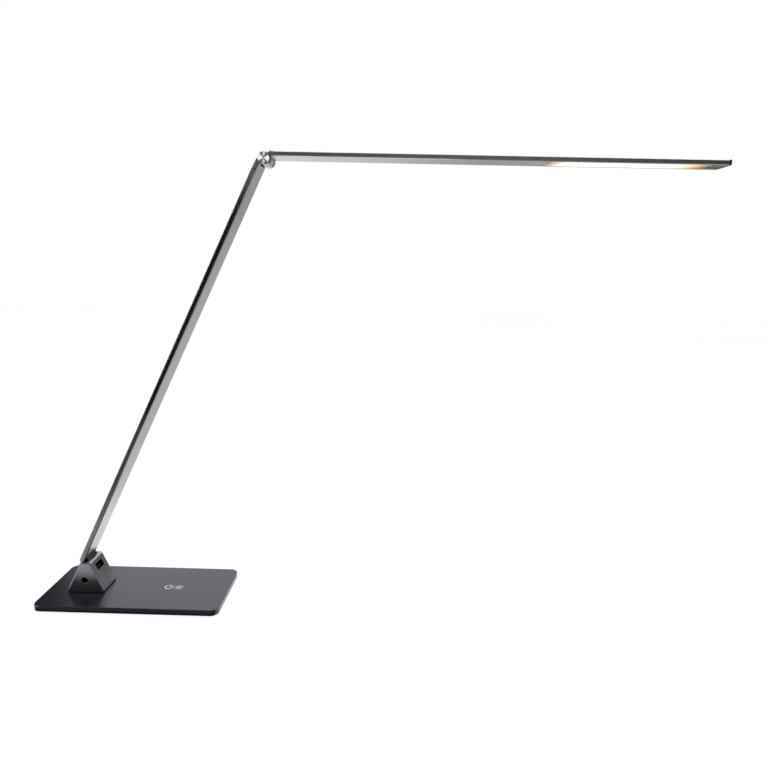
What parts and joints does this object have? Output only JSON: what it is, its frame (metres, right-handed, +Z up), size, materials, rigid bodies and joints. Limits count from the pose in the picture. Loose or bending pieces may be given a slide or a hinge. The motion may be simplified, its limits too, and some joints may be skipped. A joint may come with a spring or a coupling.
{
  "type": "folding desk lamp",
  "caption": "Slim folding desk lamp: flat weighted base, hinge block with power and charging sockets, two flat arms on friction hinges, light window under the tip.",
  "frame": {"origin": "centre of the base's underside, in the plane of the table", "axes": "+X is the lamp's reach, from the hinge block towards the light; +Z is up; +Y is away from the power socket's face"},
  "size_m": [0.6398, 0.091, 0.4354],
  "materials": {
    "base_paint": "satin black powder coat",
    "weight_steel": "mill finish steel",
    "bottom_sheet": "matt black sheet",
    "pad_rubber": "matt foam rubber",
    "gasket_rubber": "matt rubber",
    "screw_steel": "zinc-plated screws",
    "board_green": "glass-fibre board",
    "board_black": "moulded electronic parts",
    "touch_foam": "conductive foam",
    "lead_rubber": "insulated twin lead",
    "block_paint": "gunmetal satin paint on cast metal",
    "knuckle_metal": "dark gunmetal",
    "usb_steel": "nickel-plated pressed steel",
    "usb_insulator": "light grey insulator",
    "contact_gold": "gold-plated contacts",
    "jack_plastic": "black moulded jack",
    "jack_pin": "nickel-plated pin",
    "fork_metal": "brushed and tinted",
    "elbow_metal": "dark tinted",
    "tongue_metal": "satin",
    "pin_steel": "ground steel",
    "washer_brass": "plain brass",
    "cap_chrome": "turned and bright-plated",
    "lower_aluminium": "brushed, grey anodised",
    "upper_aluminium": "brushed, grey anodised",
    "under_aluminium": "brushed strip",
    "led_board": "white solder mask",
    "led_phosphor": "yellow phosphor",
    "diffuser": "opal acrylic, lit",
    "tip_plastic": "dark end cap"
  },
  "bodies": {
    "base": {"base_cover": "base_paint", "weight_plate": "weight_steel", "bottom_cover": "bottom_sheet", "rest_pad": "pad_rubber", "cover_screws": "screw_steel", "touch_board": "board_green", "touch_foam": "touch_foam", "base_lead": "lead_rubber", "hinge_block": "block_paint", "block_gasket": "gasket_rubber", "block_screws": "screw_steel", "control_board": "board_green", "board_parts": "board_black", "usb_shell": "usb_steel", "usb_tongue": "usb_insulator", "usb_contacts": "contact_gold", "jack_body": "jack_plastic", "jack_pin": "jack_pin", "hinge_knuckle": "knuckle_metal", "knuckle_screws": "screw_steel", "riser_lead": "lead_rubber"},
    "lower_arm": {"lower_fork": "fork_metal", "base_pin": "pin_steel", "base_washers": "washer_brass", "fork_screws": "screw_steel", "lower_profile": "lower_aluminium", "lower_lead": "lead_rubber", "elbow_fork": "elbow_metal", "elbow_fork_screws": "screw_steel", "elbow_pin": "pin_steel", "elbow_nut": "screw_steel", "elbow_washers": "washer_brass", "elbow_cap_front": "cap_chrome", "elbow_cap_rear": "cap_chrome"},
    "upper_arm": {"elbow_tongue": "tongue_metal", "elbow_tongue_screws": "screw_steel", "upper_profile": "upper_aluminium", "under_plate": "under_aluminium", "upper_lead": "lead_rubber", "led_board": "led_board", "led_chips": "led_phosphor", "diffuser": "diffuser", "tip_plate": "under_aluminium", "tip_cap": "tip_plastic"}
  },
  "joints": [
    {"name": "base_hinge", "type": "hinge", "parent": "base", "child": "lower_arm", "pos_m": [-0.0528, 0, 0.0401], "axis": [0, 1, 0], "range_deg": [-55, 65]},
    {"name": "elbow_hinge", "type": "hinge", "parent": "lower_arm", "child": "upper_arm", "pos_m": [0.13279, 0, 0.42911], "axis": [0, 1, 0], "range_deg": [-65, 115]}
  ]
}
